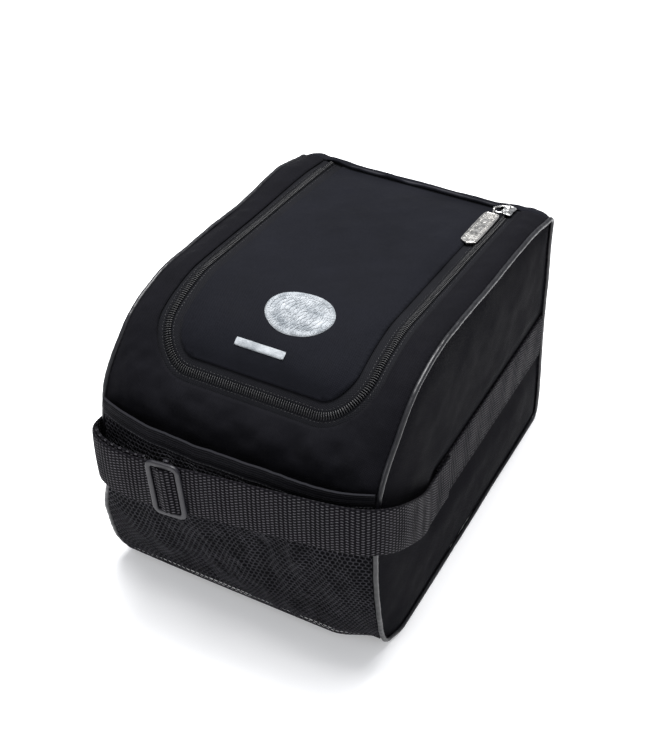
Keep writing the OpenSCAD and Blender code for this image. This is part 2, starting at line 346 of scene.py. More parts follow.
# ---- repeated parts
def node_tree(name, numbers):
    """A modifier's node group with geometry, the named numbers and a finish going in."""
    tree = bpy.data.node_groups.new(name, "GeometryNodeTree")
    tree.is_modifier = True
    face = tree.interface
    face.new_socket("Geometry", in_out="INPUT", socket_type="NodeSocketGeometry")
    face.new_socket("Geometry", in_out="OUTPUT", socket_type="NodeSocketGeometry")
    for label in numbers:
        face.new_socket(label, in_out="INPUT", socket_type="NodeSocketFloat")
    face.new_socket("Finish", in_out="INPUT", socket_type="NodeSocketMaterial")
    return tree, tree.nodes, tree.links, tree.nodes.new("NodeGroupInput")


def finish_tree(nodes, links, gin, shape):
    """Turns copies into plain mesh, shades it smooth and sets its finish."""
    for kind in ("RealizeInstances", "SetShadeSmooth", "SetMaterial"):
        node = nodes.new("GeometryNode" + kind)
        links.new(shape, node.inputs[0])
        shape = node.outputs[0]
    links.new(gin.outputs["Finish"], node.inputs["Material"])
    links.new(shape, nodes.new("NodeGroupOutput").inputs[0])


def rows_tree():
    """Sets one small rounded part on every point, turned by the point's side and up."""
    labels = ("Part Length", "Part Width", "Part Height")
    tree, nodes, links, gin = node_tree("parts_on_points", labels)
    ball = nodes.new("GeometryNodeMeshUVSphere")
    for key, value in (("Segments", 8), ("Rings", 6), ("Radius", 0.5)):
        ball.inputs[key].default_value = value
    size = nodes.new("ShaderNodeCombineXYZ")
    for k, label in enumerate(labels):
        links.new(gin.outputs[label], size.inputs[k])
    shape = nodes.new("GeometryNodeTransform")
    links.new(ball.outputs["Mesh"], shape.inputs["Geometry"])
    links.new(size.outputs[0], shape.inputs["Scale"])
    turn = None
    for axis, label, pivot in (("X", "side", "AUTO"), ("Z", "up", "X")):
        attr = nodes.new("GeometryNodeInputNamedAttribute")
        attr.data_type = "FLOAT_VECTOR"
        attr.inputs["Name"].default_value = label
        align = nodes.new("FunctionNodeAlignEulerToVector")
        align.axis, align.pivot_axis = axis, pivot
        links.new(attr.outputs["Attribute"], align.inputs["Vector"])
        if turn:
            links.new(turn, align.inputs["Rotation"])
        turn = align.outputs[0]
    put = nodes.new("GeometryNodeInstanceOnPoints")
    links.new(gin.outputs["Geometry"], put.inputs["Points"])
    links.new(shape.outputs[0], put.inputs["Instance"])
    links.new(turn, put.inputs["Rotation"])
    finish_tree(nodes, links, gin, put.outputs[0])
    return tree


def strands_tree():
    """Turns every edge of a net into a round strand."""
    tree, nodes, links, gin = node_tree("strands", ("Strand Radius",))
    curve = nodes.new("GeometryNodeMeshToCurve")
    links.new(gin.outputs["Geometry"], curve.inputs["Mesh"])
    ring = nodes.new("GeometryNodeCurvePrimitiveCircle")
    ring.inputs["Resolution"].default_value = 5
    links.new(gin.outputs["Strand Radius"], ring.inputs["Radius"])
    tube = nodes.new("GeometryNodeCurveToMesh")
    links.new(curve.outputs[0], tube.inputs["Curve"])
    links.new(ring.outputs[0], tube.inputs["Profile Curve"])
    tube.inputs["Fill Caps"].default_value = True
    finish_tree(nodes, links, gin, tube.outputs[0])
    return tree


ROWS, STRANDS = rows_tree(), strands_tree()


def run_tree(obj, tree, **values):
    m = obj.modifiers.new("build", "NODES")
    m.node_group = tree
    for item in tree.interface.items_tree:
        key = item.name.replace(" ", "_").lower()
        if item.in_out == "INPUT" and key in values:
            m[item.identifier] = values[key]
    return apply_all(obj)


def parts_on(name, points, side, up, size, finish):
    """A row of small rounded parts, size (length along side, width, height) in mm."""
    mesh = bpy.data.meshes.new(name)
    mesh.from_pydata([tuple(p) for p in points], [], [])
    for label, v in (("side", side), ("up", up)):
        a = mesh.attributes.new(label, "FLOAT_VECTOR", "POINT")
        a.data.foreach_set("vector", np.ascontiguousarray(unit(np.asarray(v, float))).ravel())
    obj = add(name, mesh)
    run_tree(obj, ROWS, part_length=size[0] * MM, part_width=size[1] * MM,
             part_height=size[2] * MM, finish=finish)
    for label in ("side", "up"):
        if label in obj.data.attributes:
            obj.data.attributes.remove(obj.data.attributes[label])
    return obj


def stitch_row(name, path, up, finish, pitch, length, thick):
    """Stitches end to end along a path in metres, all with the same up."""
    s = arc_lengths(path)
    n = max(int(s[-1] / (pitch * MM)), 1)
    t = (np.arange(n) + 0.5) * s[-1] / n
    return parts_on(name, at(t, s, path), at(t, s, tangents(path)), at(t, s, same(up, len(s))),
                    (length, thick, thick), finish)


def join(name, objs):
    bpy.ops.object.select_all(action="DESELECT")
    for o in objs:
        o.select_set(True)
    bpy.context.view_layer.objects.active = objs[0]
    if len(objs) > 1:
        bpy.ops.object.join()
    objs[0].name = name
    return objs[0]


# ---- finishes
class Finish:
    """A procedural finish: plain arithmetic on sockets, and a Principled shader at the end."""

    def __init__(self, name, **sockets):
        self.mat = bpy.data.materials.new(name)
        self.mat.use_nodes = True
        self.nodes, self.links = self.mat.node_tree.nodes, self.mat.node_tree.links
        self.shader = self.nodes["Principled BSDF"]
        for key, value in sockets.items():
            self.shader.inputs[key.replace("_", " ")].default_value = value

    def put(self, socket, value):
        if isinstance(value, bpy.types.NodeSocket):
            self.links.new(value, socket)
        else:
            socket.default_value = value

    def math(self, op, *values):
        node = self.nodes.new("ShaderNodeMath")
        node.operation = op
        for k, value in enumerate(values):
            self.put(node.inputs[k], value)
        return node.outputs[0]

    def add(self, a, b):
        return self.math("ADD", a, b)

    def mul(self, a, b):
        return self.math("MULTIPLY", a, b)

    def mul_add(self, a, b, c):
        return self.math("MULTIPLY_ADD", a, b, c)

    def axes(self, uv=None):
        """The piece's own cloth map, or its place, as separate numbers in metres."""
        if uv:
            src = self.nodes.new("ShaderNodeUVMap")
            src.uv_map = uv
            out = src.outputs[0]
        else:
            out = self.nodes.new("ShaderNodeTexCoord").outputs["Object"]
        split = self.nodes.new("ShaderNodeSeparateXYZ")
        self.links.new(out, split.inputs[0])
        return out, split.outputs[0], split.outputs[1], split.outputs[2]

    def noise(self, where, size, detail, rough=0.55):
        node = self.nodes.new("ShaderNodeTexNoise")
        self.links.new(where, node.inputs["Vector"])
        node.inputs["Scale"].default_value = 1 / size
        node.inputs["Detail"].default_value = detail
        node.inputs["Roughness"].default_value = rough
        return node.outputs["Fac"]

    def wave(self, value, pitch):
        return self.math("COSINE", self.mul(value, 2 * math.pi / pitch))

    def weave(self, u, v, pu, pv):
        """Raised crossings, every second row moved by half a pitch: 0 to 1."""
        both = self.mul(self.wave(u, pu), self.wave(v, pv))
        return self.mul_add(both, 0.5, 0.5)

    def curve(self, value, lo, hi, to_lo=0.0, to_hi=1.0):
        node = self.nodes.new("ShaderNodeMapRange")
        node.interpolation_type = "SMOOTHSTEP"
        self.put(node.inputs["Value"], value)
        for key, number in (("From Min", lo), ("From Max", hi),
                            ("To Min", to_lo), ("To Max", to_hi)):
            node.inputs[key].default_value = number
        return node.outputs[0]

    def mix(self, factor, a, b):
        node = self.nodes.new("ShaderNodeMix")
        node.data_type = "RGBA"
        self.links.new(factor, node.inputs["Factor"])
        self.put(node.inputs["A"], a)
        self.put(node.inputs["B"], b)
        return node.outputs["Result"]

    def tint(self, factor, low, high):
        return self.mix(factor, (*low, 1), (*high, 1))

    def bump(self, height, distance, strength, under=None):
        node = self.nodes.new("ShaderNodeBump")
        node.inputs["Distance"].default_value = distance
        node.inputs["Strength"].default_value = strength
        self.links.new(height, node.inputs["Height"])
        if under:
            self.links.new(under, node.inputs["Normal"])
        return node.outputs[0]

    def done(self, colour, rough=None, normal=None):
        for key, value in (("Base Color", colour), ("Roughness", rough), ("Normal", normal)):
            if value is not None:
                self.links.new(value, self.shader.inputs[key])
        return self.mat


def woven(name, low, high, pitch, depth=0.00012, uv="cloth", sheen=0.015, rough=(0.62, 0.8),
          crease=0.00035, shine=0.03):
    """Plain woven cloth: fine crossings, soft mottling and faint creases."""
    f = Finish(name, Sheen_Weight=sheen, Sheen_Roughness=0.45, Specular_IOR_Level=shine)
    where, x, y, z = f.axes()
    if uv:
        _, u, v, _ = f.axes(uv)
    else:
        u, v = f.add(x, z), f.add(y, z)
    cross = f.weave(u, v, pitch * 2, pitch * 2)
    cloud = f.noise(where, 0.035, 4)
    fibre = f.noise(where, 0.0011, 2)
    soft = f.noise(where, 0.012, 3)
    shade = f.mul_add(cross, 0.45, f.mul_add(fibre, 0.45,
                   f.mul(cloud, 0.55)))
    colour = f.tint(f.curve(shade, 0.25, 1.15), low, high)
    creased = f.bump(soft, crease * 4, 0.35)
    normal = f.bump(f.mul_add(fibre, 0.5, cross), depth, 0.9, creased)
    return f.done(colour, f.curve(cloud, 0.3, 0.7, *rough), normal)


def webbing_finish(name):
    """Heavy webbing: cross columns 3.2 mm apart, each with a row of raised crossings whose bright
    colour is a painted highlight.
    """
    f = Finish(name, Sheen_Weight=0.009, Sheen_Roughness=0.4, Specular_IOR_Level=0.02)
    where = f.axes()[0]
    _, u, v, _ = f.axes("cloth")
    across = f.wave(u, 0.0064)
    columns = f.mul(across, across)
    knots = f.mul_add(f.mul(across, f.wave(v, 0.0024)), 0.5, 0.5)
    face = f.curve(f.math("ABSOLUTE", v), 0.0188, 0.0198, 1.0, 0.15)
    fibre = f.noise(where, 0.0006, 2)
    cloud = f.noise(where, 0.02, 3)
    # painted highlight: the raised crossings on the webbing's faces, less on its rounded edges, are
    # coloured near white in place of glints of light
    painted_glint = f.mul(f.mul(f.curve(knots, 0.6, 0.95), face),
                 f.curve(fibre, 0.25, 0.6, 0.45, 1.0))
    base = f.tint(f.mul_add(columns, 0.55, f.mul(cloud, 0.45)),
                  (0.0022, 0.0021, 0.0028), (0.0100, 0.0095, 0.0115))
    colour = f.mix(painted_glint, base, (0.104, 0.100, 0.109, 1))
    height = f.mul_add(knots, 0.7, f.mul(fibre, 0.35))
    return f.done(colour, f.curve(cloud, 0.3, 0.7, 0.55, 0.75), f.bump(height, 0.0004, 1.0))


def elastic_finish(name):
    """Binding elastic: ridges along it, and one paler thread near its lower edge."""
    f = Finish(name, Sheen_Weight=0.015, Sheen_Roughness=0.45, Specular_IOR_Level=0.06)
    where = f.axes()[0]
    _, u, v, _ = f.axes("cloth")
    rib = f.mul_add(f.wave(v, 0.0019), 0.5, 0.5)
    cross = f.wave(u, 0.0011)
    fibre = f.noise(where, 0.0009, 2)
    shade = f.mul_add(rib, 0.7, f.mul(fibre, 0.4))
    base = f.tint(f.curve(shade, 0.15, 1.0), (0.0020, 0.0020, 0.0028), (0.0135, 0.0135, 0.0165))
    far = f.math("ABSOLUTE", f.add(v, 0.0052))
    line = f.mul(f.curve(far, 0.0002, 0.0006, 1.0, 0.0),
                 f.curve(fibre, 0.3, 0.6, 0.3, 1.0))
    colour = f.mix(line, base, (0.045, 0.045, 0.052, 1))
    return f.done(colour, f.curve(fibre, 0.3, 0.7, 0.6, 0.8),
                  f.bump(f.mul_add(cross, 0.12, rib), 0.0004, 0.9))


def thread_finish(name, low, high, rough=0.55):
    """Twisted thread: slanting lays and loose fibres."""
    f = Finish(name, Sheen_Weight=0.02, Roughness=rough, Specular_IOR_Level=0.12)
    where, x, y, z = f.axes()
    lay = f.wave(f.add(f.add(x, y), z), 0.0009)
    fibre = f.noise(where, 0.0005, 2)
    cloud = f.noise(where, 0.01, 2)
    mixed = f.mul_add(fibre, 0.5, f.mul(cloud, 0.5))
    return f.done(f.tint(f.curve(mixed, 0.3, 0.7), low, high), None,
                  f.bump(f.add(lay, fibre), 0.00008, 0.8))


def moulded(name, low, high, rough, grain, shine, coat=0.0, depth=0.00006):
    """Moulded or coated surface: fine grain, soft mottling and rubbed places."""
    f = Finish(name, Coat_Weight=coat, Coat_Roughness=0.12, Specular_IOR_Level=shine)
    where = f.axes()[0]
    fine, cloud = f.noise(where, grain, 2), f.noise(where, 0.03, 4)
    rub = f.noise(where, 0.006, 5, 0.7)
    return f.done(f.tint(f.curve(f.mul_add(rub, 0.4, f.mul(cloud, 0.6)),
                                 0.35, 0.65), low, high),
                  f.curve(rub, 0.3, 0.7, *rough),
                  f.bump(fine, depth, 0.7, f.bump(cloud, depth * 6, 0.25)))


def plated(name, low, high, rough, dark=0.0):
    """Nickel plating: fine brush lines and, where dark is set, tarnish in soft random patches and
    specks.
    """
    f = Finish(name, Metallic=1.0)
    where = f.axes()[0]
    lines = f.noise(where, 0.0008, 3)
    cloud = f.noise(where, 0.005, 4)
    tone = f.curve(cloud, 0.35, 0.65) if not dark else f.math(
        "MULTIPLY", f.curve(cloud, 0.2, 0.55, 1 - dark, 1), f.curve(lines, 0.3, 0.6, 1 - dark, 1))
    return f.done(f.tint(tone, low, high), f.curve(cloud, 0.3, 0.7, *rough),
                  f.bump(lines, 0.00002, 0.5))


NYLON = ((0.0022, 0.0022, 0.0030), (0.0080, 0.0079, 0.0100), 0.0007)
BODY = woven("body_fabric", *NYLON, crease=0.0002, shine=0.02)
# painted shade: the sides use the body cloth with less sheen and shine, a darker copy of it that
# stands in for the sides' shade
SIDES_SHADED = woven("side_fabric", *NYLON, sheen=0.006, crease=0.00015, shine=0.009)
LID = woven("lid_fabric", (0.0028, 0.0030, 0.0043), (0.0096, 0.0100, 0.0134), 0.0007)
BASE = woven("base_fabric", (0.006, 0.006, 0.007), (0.016, 0.016, 0.018), 0.0011, 0.0002,
             rough=(0.5, 0.65))
LINING = woven("lining_fabric", (0.012, 0.012, 0.014), (0.036, 0.036, 0.041), 0.0006, 0.00008)
BOARD = woven("board_cover", (0.012, 0.012, 0.013), (0.036, 0.036, 0.039), 0.0009, uv=None)
TAPE = woven("zip_tape", (0.0034, 0.0035, 0.0044), (0.0115, 0.0117, 0.0140), 0.0008, 0.0002,
             rough=(0.6, 0.75))
PIPE = moulded("piping_vinyl", (0.003, 0.003, 0.0042), (0.008, 0.008, 0.0102), (0.30, 0.44),
               0.0012, 0.34, coat=0.12, depth=0.00012)
COIL = moulded("coil_nylon", (0.0018, 0.0018, 0.0026), (0.0055, 0.0056, 0.0072), (0.30, 0.42),
               0.0005, 0.4)
NET = thread_finish("net_yarn", (0.008, 0.008, 0.010), (0.038, 0.037, 0.044), 0.6)
ELASTIC = elastic_finish("elastic_rib")
WEBBING = webbing_finish("webbing_weave")
THREAD = thread_finish("dark_thread", (0.004, 0.004, 0.005), (0.014, 0.014, 0.016))
GREY_THREAD = thread_finish("grey_thread", (0.03, 0.03, 0.034), (0.09, 0.09, 0.095))
SATIN = thread_finish("satin_thread", (0.15, 0.17, 0.19), (0.50, 0.52, 0.54), 0.5)
NICKEL = plated("nickel", (0.36, 0.36, 0.355), (0.74, 0.74, 0.73), (0.14, 0.26))
TAG = plated("tag_nickel", (0.14, 0.135, 0.13), (0.62, 0.61, 0.585), (0.26, 0.42), 0.75)
ACETAL = moulded("acetal", (0.009, 0.0085, 0.0115), (0.018, 0.017, 0.022), (0.36, 0.5), 0.0005,
                 0.35)


def dress(obj, finish, body, replaces=()):
    obj.data.materials.clear()
    obj.data.materials.append(finish)
    if body:
        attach(obj, body)
    if replaces:
        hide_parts(*replaces)
    return obj


# ---- the zip's line round the lid
ZIP_HALF, ZIP_FRONT, ZIP_CORNER = 74.0, -125.0, 28.0
INNER_STRIP, OUTER_STRIP = 9.4, 7.2     # from the chain to the cloth on each side
BODY_COIL_END, LID_COIL_END = 108.5, 124.0
CHAIN_STEP, COIL_PITCH = 1.0, 1.65
TAPE_T, TAPE_BOW = 0.5, 0.25


def chain_line(y_end):
    """The chain's centre on the flat cloth, from the right back end round to the left."""
    r = ZIP_CORNER
    pts = [(ZIP_HALF, y_end)]
    for cx, a0 in ((ZIP_HALF - r, 0), (-ZIP_HALF + r, -90)):
        for a in np.radians(np.linspace(a0, a0 - 90, 40)):
            pts.append((cx + r * math.cos(a), ZIP_FRONT + r + r * math.sin(a)))
    pts.append((-ZIP_HALF, y_end))
    p = even(np.array(pts), CHAIN_STEP, closed=False)
    return even(np.stack([p[:, 0], s_at_top(p[:, 1])], 1), CHAIN_STEP, closed=False)


def beside(line, w):
    """The line moved by w, away from the lid."""
    d = tangents(line)
    return line + w * np.stack([-d[:, 1], d[:, 0]], 1)


CHAIN = chain_line(FOLD_Y)
MOUTH = beside(CHAIN, OUTER_STRIP)
LID_EDGE = beside(CHAIN, -INNER_STRIP)


SAG = 5.2


def sag(x, s):
    """The back edge of the top hangs between the side seams."""
    mid = 1 - step_up(np.abs(x), 56, 82)
    away = s - S_FOLD
    return -SAG * mid * np.where(away < 0, np.exp(-(away / 48) ** 2), np.exp(-(away / 16) ** 2))


def zip_h(x, s):
    """Height of the zip's tape over the side outline."""
    return -1.3 + sag(x, s) + 0.35 * soft_noise(x, s, 5, 70)


def body_h(x, s):
    """Height of the front, top, back and bottom cloth over the side outline."""
    flat = np.stack([x, s], -1)
    d = np.maximum(SEAM_X - np.abs(x), 0)
    beyond = np.maximum(s - S_FOLD, 0)
    dz = np.where(s > S_FOLD, np.maximum(np.abs(x) - ZIP_HALF - OUTER_STRIP, 0) + 0.30 * beyond,
                  nearest(MOUTH, flat, closed=False))
    pocket = (1 - step_up(s, s_at_front(150), s_at_front(176))) * (s < S_FOLD)
    under = step_up(s, S_BACK - 25, S_BACK)
    puff = (1 - np.exp(-(d / 4.6) ** 1.3)) * (1 - np.exp(-(dz / 5.5) ** 1.5))
    folds = (1.0 * soft_noise(x * 1.6, s, 11, 52) + 0.5 * soft_noise(x, s * 1.5, 12, 21)
             ) * (1 + 1.5 * step_up(s_at_front(205) - s, 0, 25) * (s < S_FOLD))
    back = 1.3 * soft_noise(x, s * 2.0, 13, 60) * step_up(beyond, 4, 40)
    lift = (3.3 + folds + back) * (1 - 0.8 * pocket) * (1 - under)
    rolled = 0.55 * np.exp(-dz / 2.5) * (1 - step_up(s, S_FOLD - 3, S_FOLD - 1.2))
    return -0.3 + rolled + puff * lift + sag(x, s)


def lid_h(x, s):
    """Height of the padded lid's cloth over the side outline."""
    flat = np.stack([x, s], -1)
    dz = nearest(LID_EDGE, flat, closed=False)
    crown = 3.4 + 0.9 * soft_noise(x, s, 21, 60) + 0.35 * soft_noise(x, s, 22, 20)
    near_fold = 1 - step_up(s, S_FOLD - 30, S_FOLD)
    return 0.1 + crown * near_fold * (1 - np.exp(-(dz / 8.5) ** 1.4)) + sag(x, s)


def lid_point(x, y, lift):
    """A place on the lid's cloth, and the cloth's outward direction, for plan places in mm."""
    x, y = np.asarray(x, float), np.asarray(y, float)
    s = s_at_top(y)
    h = lid_h(x, s) + lift
    p = wrap(x, s, h)
    e = 0.5
    px, ps = wrap(x + e, s, lid_h(x + e, s) + lift), wrap(x, s + e, lid_h(x, s + e) + lift)
    return p, unit(np.cross(px - p, ps - p))


def wrap_panel(name, border, height, thick=1.0, step=3.0):
    """A cloth laid round the bag's outline, height(x, s) over it."""
    def place(q):
        return wrap(q[:, 0], q[:, 1], height(q[:, 0], q[:, 1]))
    return thicken(cloth_patch(name, border, place, step), thick)


EDGE_X = SEAM_X + 0.5           # the cloth runs on a little under the piping
top_border = ([(-EDGE_X, S_FRONT), (EDGE_X, S_FRONT), (EDGE_X, S_FOLD)]
              + [tuple(p) for p in MOUTH] + [(-EDGE_X, S_FOLD)])
front_top = wrap_panel("front_top_cloth", top_border, body_h, step=2.6)
dress(front_top, BODY, "bag", ["front_top_panel"])

back_cloth = wrap_panel("back_cloth", [(-EDGE_X, S_FOLD), (-80, S_FOLD), (-79, S_FOLD - 1),
                                       (79, S_FOLD - 1), (80, S_FOLD), (EDGE_X, S_FOLD),
                                       (EDGE_X, S_BACK), (-EDGE_X, S_BACK)], body_h)
dress(back_cloth, LID, "bag", ["back_panel"])

S_END = GIRTH + S_FRONT
bottom_cloth = wrap_panel(
    "bottom_cloth", [(-SEAM_X, S_BACK), (SEAM_X, S_BACK), (SEAM_X, S_END), (-SEAM_X, S_END)],
    lambda x, s: -0.25 - 0.5 * (1 - np.exp(-np.minimum(s - S_BACK, S_END - s) / 6)), step=4.0)
dress(bottom_cloth, BASE, "bag", ["bottom_panel"])

SIDE_LINE = even(LOOP[:-1], 2.5)


def side_h(y, z):
    """How far the side cloth stands out from its seam; the webbing holds it in."""
    flat = np.stack([y, z], -1)
    d = nearest(SIDE_LINE, flat)
    held = (1 - step_up(np.abs(z - WEB_Z), 19, 40)) * step_up(y, -84, -58)
    swell = (3.6 + 1.4 * step_up(100 - z, 0, 80) + 1.0 * soft_noise(y, z * 1.5, 31, 90)
             + 0.25 * soft_noise(y, z, 32, 34))
    return -0.3 + (1 - np.exp(-(d / 15) ** 1.4)) * (swell * (1 - held) + 0.35 * held)


def side_patch(name, border, sign, x_of, thick, step=3.0):
    """A cloth in the side's own flat (y, z), x_of(y, z) away from the bag's middle."""
    obj = cloth_patch(name, border, lambda q: np.stack(
        [sign * x_of(q[:, 0], q[:, 1]), q[:, 0], q[:, 1]], -1) * MM, step)
    if sign < 0:
        obj.data.flip_normals()
    return thicken(obj, thick)


SIDE_BORDER = LOOP[:-1] - 0.25 * LOOP_N[:-1]
for side, sign in BOTH:
    obj = side_patch("side_cloth_" + side, SIDE_BORDER, sign,
                     lambda y, z: SEAM_X + side_h(y, z), 1.0)
    dress(obj, SIDES_SHADED, "bag", ["side_panel_" + side])


# ---- piping and inner bindings
def circle(r, n):
    a = np.arange(n) * 2 * math.pi / n
    return np.stack([r * np.cos(a), r * np.sin(a)], 1)


def flat_band(w, t, n, bow):
    """A closed band section, w wide and t thick, with softly rounded edges."""
    a = np.linspace(-w / 2, w / 2, n + 1)
    lift = bow * (1 - (2 * a / w) ** 2)
    top = np.stack([a, t / 2 + lift], 1)
    low = np.stack([a[::-1], -t / 2 + lift[::-1]], 1)
    edge = t * 0.45
    for part in (top, low):
        part[[0, -1], 0] *= 1 - edge / w
    right = [(w / 2 + 0.1 * t, t * 0.12), (w / 2 + 0.1 * t, -t * 0.12)]
    return np.vstack([top, right, low, [(-p[0], p[1]) for p in right[::-1]]])


PIPE_DRAWN_R = 1.75


def piping(name, sign):
    """The piping with its small wander: the seam's, and the cord's own."""
    s = np.arange(0, GIRTH - 1, 1.6)
    dx, dh = seam_wave(s, sign)
    wob = 0.12 * np.sin(2 * math.pi * s / 23 + sign) + 0.10 * np.sin(2 * math.pi * s / 7.3)
    x = sign * (SEAM_X + 1.25 + 0.18 * dx)
    path = wrap(x, s, (0.55 if sign > 0 else -0.2) + 0.8 * dh + wob)
    return ribbon(name, path, same([1, 0, 0], len(s)), out_of_loop(s), circle(PIPE_DRAWN_R, 14),
                  closed=True)


def seam_binding(name, sign):
    s = np.arange(0, GIRTH - 1, 4.0)
    path = wrap(sign * (SEAM_X - 8.2), s, -5.2)
    return ribbon(name + "_binding", path, same([1, 0, 0], len(s)), out_of_loop(s),
                  flat_band(8, 0.9, 4, 0.2), closed=True)


for side, sign in BOTH:
    dress(piping("piping_" + side, sign), PIPE, "bag", ["piping_" + side])
for side, sign in BOTH:
    tape = "seam_tape_" + side
    dress(seam_binding(tape, sign), TAPE, "bag", [tape])


# ---- lining
IN = PANEL_T + 1.0


def lining_h(x, s):
    return -IN - 0.6 - 0.5 * soft_noise(x, s, 41, 50)


mouth_in = beside(CHAIN, OUTER_STRIP + 2.5)
lx = SEAM_X - IN
lining_parts = [
    wrap_panel("lining_wrap", [(-lx, S_FOLD + 1), (-lx, S_END), (lx, S_END), (lx, S_FOLD + 1)],
               lining_h, 0.5, 6.0),
    wrap_panel("lining_top", [(-lx, S_FRONT), (lx, S_FRONT), (lx, S_FOLD)]
               + [tuple(p) for p in mouth_in] + [(-lx, S_FOLD)], lining_h, 0.5, 6.0)]
for side, sign in BOTH:
    lining_parts.append(side_patch(
        "lining_side", LOOP[:-1] - (IN + 0.4) * LOOP_N[:-1], sign,
        lambda y, z: SEAM_X - IN - 0.4 + 0.5 * soft_noise(y, z, 42, 50), 0.5, 6.0))
lining = join("lining_cloth", lining_parts)
dress(lining, LINING, "bag", ["lining"])


# ---- zip
def lane(name, line, section):
    """A band along a flat line: section is a closed ring of (offset, height over the tape)."""
    rings = []
    for w, h in section:
        q = beside(line, w)
        rings.append(wrap(q[:, 0], q[:, 1], zip_h(q[:, 0], q[:, 1]) + h))
    return loft(name, np.stack(rings, 1), False, [w for w, _ in section])


def tape_section(w0, w1):
    """A tape from offset w0 to w1, bowed up a little in its middle."""
    a = np.linspace(w0, w1, 5)
    h = TAPE_BOW * np.sin(np.linspace(0, math.pi, 5))
    return [(w, g) for w, g in zip(a, h)] + [(w, g - TAPE_T) for w, g in zip(a[::-1], h[::-1])]


def chain_rows(name, line, sign, phase):
    """One coil: a slanted loop every pitch along the tape's edge, and its rounded heads."""
    s = arc_lengths(line)
    t = (np.arange(int(s[-1] / COIL_PITCH)) + phase) * COIL_PITCH
    base, run = at(t, s, line), unit(at(t, s, tangents(line)))
    out = np.stack([-run[:, 1], run[:, 0]], 1) * sign

    def lay(offset, lift, lead):
        q = base + out * offset + run * lead
        return wrap(q[:, 0], q[:, 1], zip_h(q[:, 0], q[:, 1]) + lift)

    pieces = []
    for o0, o1, h0, h1, size in ((0.1, 2.7, 1.3, 0.7, (3.1, 1.0, 1.2)),
                                 (-0.15, 0.95, 1.5, 1.4, (1.4, 1.1, 1.15))):
        a, b = lay(o0, h0, 0.0), lay(o1, h1, 0.5)
        mid = (a + b) / 2
        up = np.cross(b - a, lay(1, 1, 1) - lay(1, 1, 0)) * -sign
        pieces.append(parts_on(name, mid, b - a, up, size, COIL))
    q = beside(line, sign * 4.0)
    row = wrap(q[:, 0], q[:, 1], zip_h(q[:, 0], q[:, 1]) + 0.15)
    pieces.append(stitch_row(name, row, [0, 0, 1], COIL, 2.6, 2.0, 0.45))
    return join(name, pieces)


for name, body, end, w0, w1 in (("outer", "bag", FOLD_Y - 0.2, 0.9, OUTER_STRIP + 2.0),
                                ("inner", "lid", FOLD_Y - 0.4, -INNER_STRIP - 1.8, -0.9)):
    tape = lane("zip_tape_" + name, chain_line(end), tape_section(w0, w1))
    dress(tape, TAPE, body, ["zip_tape_" + ("lid" if body == "lid" else "body")])
for name, body, end, sign, phase in (("outer", "bag", BODY_COIL_END, 1, 0.5),
                                     ("inner", "lid", LID_COIL_END, -1, 1.0)):
    coil = chain_rows("zip_coil_" + name, chain_line(end), sign, phase)
    dress(coil, COIL, body, ["zip_coil_" + ("lid" if body == "lid" else "body")])


# ---- lid
lid_border = [tuple(p) for p in LID_EDGE]
lid_cushion = wrap_panel("lid_cushion", lid_border, lid_h, thick=3.2, step=2.6)
dress(lid_cushion, LID, None, ["lid_panel", "lid_foam"])
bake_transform(lid_cushion)

lining_edge = beside(chain_line(FOLD_Y - 10), -INNER_STRIP + 1.0)
lid_inner = wrap_panel("lid_lining_cloth", [tuple(p) for p in lining_edge],
                       lambda x, s: -3.3 - 0.4 * soft_noise(x, s, 51, 40) + sag(x, s), 0.5, 5.0)
dress(lid_inner, LINING, "lid", ["lid_lining"])

# embroidery: a plain oval (its middle and half sizes) with a satin rim, and a plain satin bar
OVAL = (9.0, -74.0, 24.0, 17.5)
BAR_X0, BAR_X1, BAR_Y, BAR_HALF = -20.0, 14.0, -104.0, 2.2


def oval_base():
    a = np.linspace(0, 2 * math.pi, 73)[:-1]
    cx, cy, rx, ry = OVAL
    ring = np.stack([cx + rx * np.cos(a), cy + ry * np.sin(a)], 1)
    obj = cloth_patch("oval", ring, lambda q: lid_point(q[:, 0], q[:, 1], 0.45)[0], 2.0)
    return thicken(obj, 0.7)


def satin_fill(name, spots, lean, length, pitch_w, thick):
    x, y = spots.T
    p, up = lid_point(x, y, thick)
    q, _ = lid_point(x + lean[..., 0] * 0.5, y + lean[..., 1] * 0.5, thick)
    return parts_on(name, p, q - p, up, (length, pitch_w, pitch_w * 0.8), SATIN)


def oval_stitches():
    """A rim of short satin stitches round a field of broken rows."""
    cx, cy, rx, ry = OVAL
    chance = np.random.default_rng(5)
    n = 150
    a = np.arange(n) * 2 * math.pi / n
    rim = np.stack([cx + (rx - 1.9) * np.cos(a), cy + (ry - 1.9) * np.sin(a)], 1)
    out = unit(np.stack([np.cos(a) / rx, np.sin(a) / ry], 1))
    out = unit(out + chance.normal(0, 0.12, out.shape))
    parts = [satin_fill("oval", rim + chance.normal(0, 0.15, rim.shape), out, 3.7, 0.85, 0.6)]
    spots = []
    for y in np.arange(-ry + 4.4, ry - 4.3, 0.72):
        half = (rx - 4.0) * math.sqrt(max(0, 1 - (y / (ry - 4.0)) ** 2))
        n = max(int(round(2 * half / 3.4)), 1)
        w = 2 * half / n
        spots += [(cx - half + (k + 0.5) * w, cy + y) for k in range(n)]
    spots = np.array(spots) + chance.normal(0, 0.3, (len(spots), 2))
    lean = unit(same([0.35, 1], len(spots)) + chance.normal(0, 0.3, (len(spots), 2)))
    parts.append(satin_fill("oval", spots, lean, 3.6, 0.75, 0.62))
    return parts


